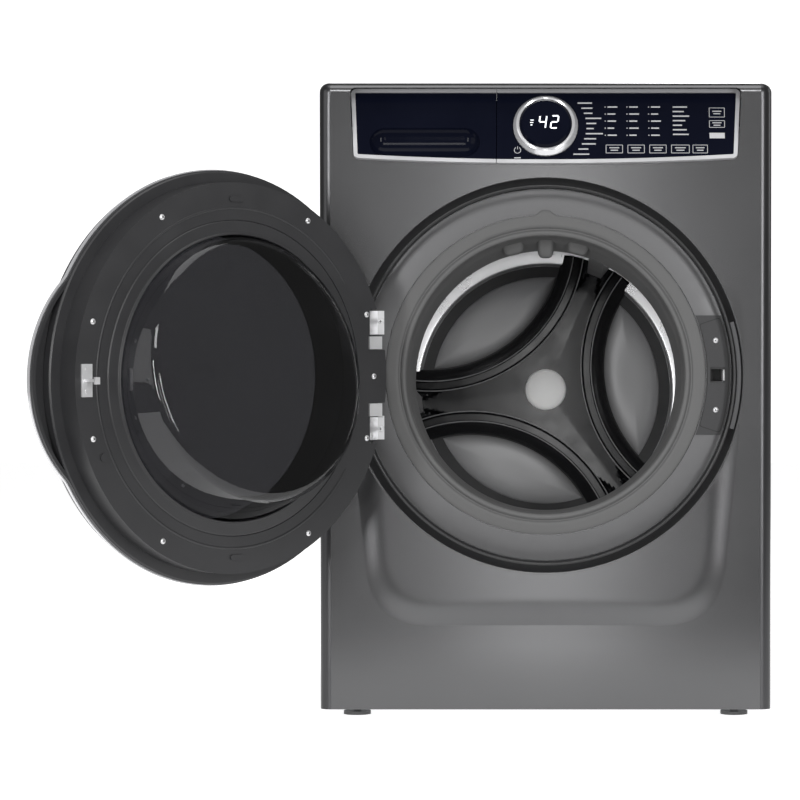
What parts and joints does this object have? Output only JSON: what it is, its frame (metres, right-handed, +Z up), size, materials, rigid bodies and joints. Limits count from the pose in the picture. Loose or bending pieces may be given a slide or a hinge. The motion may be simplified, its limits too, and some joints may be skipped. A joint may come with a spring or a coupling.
{
  "type": "front load washing machine",
  "caption": "Free-standing front load washing machine with a round hinged door, a slanted control console, a detergent drawer and a belt-driven tilted drum.",
  "frame": {"origin": "centre of the cabinet's footprint on the floor", "axes": "+X to the machine's right seen from the front, +Y towards its back, +Z up"},
  "size_m": [1.0625, 1.233, 0.965],
  "materials": {
    "cabinet_paint": "satin metallic",
    "plated_sheet": "plated",
    "black_plastic": "satin",
    "dark_plastic": "satin",
    "console_black": "gloss",
    "lens": "gloss",
    "silver_trim": "polished",
    "zinc": "satin",
    "grey_rubber": "matte",
    "belt_rubber": "matte",
    "board": "gloss",
    "pale_plastic": "satin",
    "tub_plastic": "satin",
    "weight_iron": "rough",
    "damper_steel": "satin",
    "motor_metal": "cast",
    "foot_plastic": "satin",
    "door_glass": "gloss",
    "window_glass": "gloss",
    "drum_steel": "brushed",
    "lifter_plastic": "satin",
    "star_black": "gloss",
    "hub_white": "satin"
  },
  "bodies": {
    "cabinet": {"base_pan": "plated_sheet", "side_panel_left": "cabinet_paint", "side_panel_right": "cabinet_paint", "rear_panel": "plated_sheet", "rear_access_cover": "plated_sheet", "transit_bolt_caps": "black_plastic", "cabinet_screws": "zinc", "top_panel": "cabinet_paint", "front_panel": "cabinet_paint", "door_surround_ring": "black_plastic", "foot_lock_nuts": "zinc", "console_panel": "console_black", "console_trim": "silver_trim", "control_board": "board", "display_bezel": "console_black", "display_lens": "lens", "dispenser_housing": "pale_plastic", "latch_cover": "dark_plastic", "latch_body": "black_plastic", "hinge_brackets": "zinc", "plate_screws": "zinc", "door_gasket": "grey_rubber", "gasket_clamp": "zinc", "tub_front": "tub_plastic", "tub_rear": "tub_plastic", "counterweight": "weight_iron", "cross_rail": "plated_sheet", "tub_springs": "zinc", "tub_dampers": "damper_steel", "drum_bearings": "zinc", "motor_body": "motor_metal", "drive_belt": "belt_rubber", "drain_pump": "black_plastic", "inlet_valve": "pale_plastic", "drain_spigot": "pale_plastic", "cord_gland": "black_plastic"},
    "foot_fl": {"foot_front_left": "foot_plastic"},
    "foot_fr": {"foot_front_right": "foot_plastic"},
    "foot_rl": {"foot_rear_left": "foot_plastic"},
    "foot_rr": {"foot_rear_right": "foot_plastic"},
    "selector": {"selector_ring": "silver_trim"},
    "drawer": {"drawer_front": "console_black", "drawer_trim": "silver_trim", "drawer_tray": "pale_plastic"},
    "door": {"door_outer_shell": "dark_plastic", "door_trim_ring": "silver_trim", "door_window": "window_glass", "door_inner_frame": "dark_plastic", "door_glass_bowl": "door_glass", "door_strike": "zinc", "door_screws": "zinc", "hinge_arms": "zinc"},
    "latch": {"latch_pawl": "zinc"},
    "drum": {"drum_basket": "drum_steel", "drum_star": "star_black", "hub_cap": "hub_white", "drum_baffles": "lifter_plastic", "drum_spider": "motor_metal", "drum_pulley": "motor_metal"},
    "motor_rotor": {"motor_pulley": "zinc"}
  },
  "joints": [
    {"name": "door_hinge", "type": "hinge", "parent": "cabinet", "child": "door", "pos_m": [-0.278, -0.398, 0.522], "axis": [0, 0, 1], "range_deg": [-8, 137]},
    {"name": "selector_turn", "type": "hinge", "parent": "cabinet", "child": "selector", "pos_m": [0, -0.356, 0.8995], "axis": [0, -0.9397, 0.342], "continuous": true},
    {"name": "drawer_slide", "type": "slide", "parent": "cabinet", "child": "drawer", "axis": [0, -1, 0], "range_m": [0, 0.2]},
    {"name": "latch_pivot", "type": "hinge", "parent": "cabinet", "child": "latch", "pos_m": [0.2728, -0.302, 0.522], "axis": [0, 0, 1], "range_deg": [0, 12], "stiffness_Nm_per_rad": 0.05, "springref_deg": -5.73},
    {"name": "drum_spin", "type": "hinge", "parent": "cabinet", "child": "drum", "pos_m": [0, -0.338, 0.522], "axis": [0, 0.9978, -0.0663], "continuous": true},
    {"name": "motor_spin", "type": "hinge", "parent": "cabinet", "child": "motor_rotor", "pos_m": [-0.25597, 0.24372, 0.22683], "axis": [0, 0.9978, -0.0663], "continuous": true},
    {"name": "level_front_left", "type": "slide", "parent": "cabinet", "child": "foot_fl", "axis": [0, 0, 1], "range_m": [-0.012, 0.008]},
    {"name": "level_front_right", "type": "slide", "parent": "cabinet", "child": "foot_fr", "axis": [0, 0, 1], "range_m": [-0.012, 0.008]},
    {"name": "level_rear_left", "type": "slide", "parent": "cabinet", "child": "foot_rl", "axis": [0, 0, 1], "range_m": [-0.012, 0.008]},
    {"name": "level_rear_right", "type": "slide", "parent": "cabinet", "child": "foot_rr", "axis": [0, 0, 1], "range_m": [-0.012, 0.008]}
  ],
  "couplings": [
    {"joint": "motor_spin", "follows": "drum_spin", "ratio": 6.8182}
  ]
}
